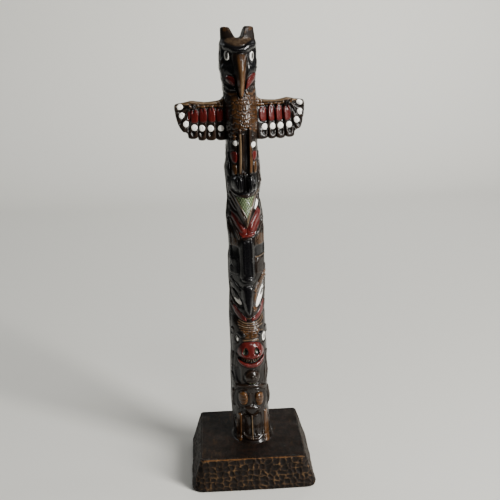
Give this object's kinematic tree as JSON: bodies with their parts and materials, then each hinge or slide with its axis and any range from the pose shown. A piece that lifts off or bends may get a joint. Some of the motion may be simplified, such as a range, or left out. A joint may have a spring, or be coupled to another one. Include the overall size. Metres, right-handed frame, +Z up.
{
  "type": "totem pole",
  "caption": "Tall slim carved pole of stacked animal faces topped by a horned bird with spread wings, standing on a square foot block that tapers upwards.",
  "frame": {"origin": "on the floor, under the middle of the foot block", "axes": "+Z up the pole, -Y out of the front of the figures, +X towards the bird's left wing"},
  "size_m": [0.0856, 0.08, 0.305],
  "materials": {
    "painted_resin": "cast resin, dark brown wood-coloured stain with black, red, white, pale green and gold-brown hand painting under a gloss lacquer"
  },
  "bodies": {
    "root": {"totem_pole": "painted_resin"}
  },
  "joints": []
}
